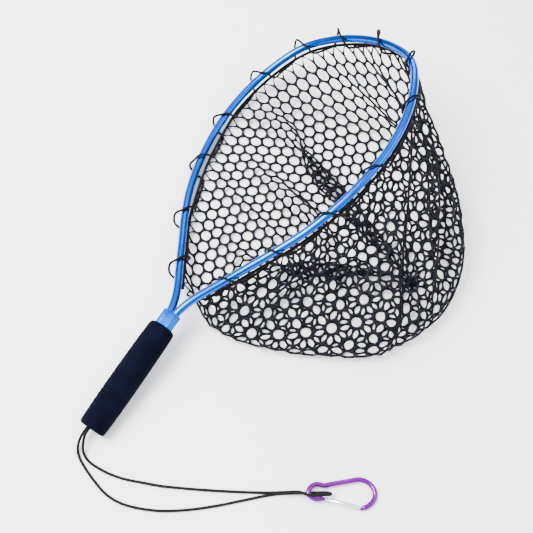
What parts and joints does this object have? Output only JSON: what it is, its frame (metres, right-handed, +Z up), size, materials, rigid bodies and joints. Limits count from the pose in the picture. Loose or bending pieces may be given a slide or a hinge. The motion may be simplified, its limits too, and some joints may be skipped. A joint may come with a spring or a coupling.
{
  "type": "landing net",
  "caption": "Teardrop tube hoop with a slumped rubber mesh bag, a short foam-gripped handle, and a cord lanyard with a snap carabiner.",
  "frame": {"origin": "middle of the object's footprint on the ground, without the free lanyard and carabiner", "axes": "+Z up; +X along the handle towards the tip of the hoop; +Y to the left of someone holding the net by its handle. The net lies at rest, its hoop rolled to the left over the slumped bag"},
  "size_m": [0.5971, 0.4082, 0.1554],
  "materials": {
    "anodised_blue": "bright blue anodised, polished",
    "anodised_blue_handle": "bright blue anodised, finely fluted",
    "steel": "plain bright",
    "foam": "matte closed-cell foam, rounded ends",
    "plug_plastic": "moulded, matte",
    "cord": "black braided cord, slight sheen",
    "net_rubber": "black, slight sheen",
    "anodised_violet": "light violet anodised, satin",
    "gate_silver": "clear anodised, satin"
  },
  "bodies": {
    "net": {"hoop_tube": "anodised_blue", "handle_tube": "anodised_blue_handle", "hoop_pin_front": "steel", "hoop_pin_rear": "steel", "foam_grip": "foam", "butt_plug": "plug_plastic", "lanyard_knot": "cord", "head_rope": "cord", "net_bag": "net_rubber", "bag_gather": "net_rubber", "lashing_cord": "cord", "lashing_knot_right": "cord", "lashing_knot_left": "cord", "lanyard_cord": "cord", "carabiner_body": "anodised_violet", "gate_pin": "steel"},
    "gate": {"carabiner_gate": "gate_silver", "gate_nose_pin": "steel", "gate_spring": "steel", "gate_plunger": "steel"}
  },
  "joints": [
    {"name": "gate_hinge", "type": "hinge", "parent": "net", "child": "gate", "pos_m": [-0.20043, -0.18636, 0.00498], "axis": [0.0175, -0.0487, 0.9987], "range_deg": [0, 28], "stiffness_Nm_per_rad": 0.02, "springref_deg": -11.46}
  ]
}
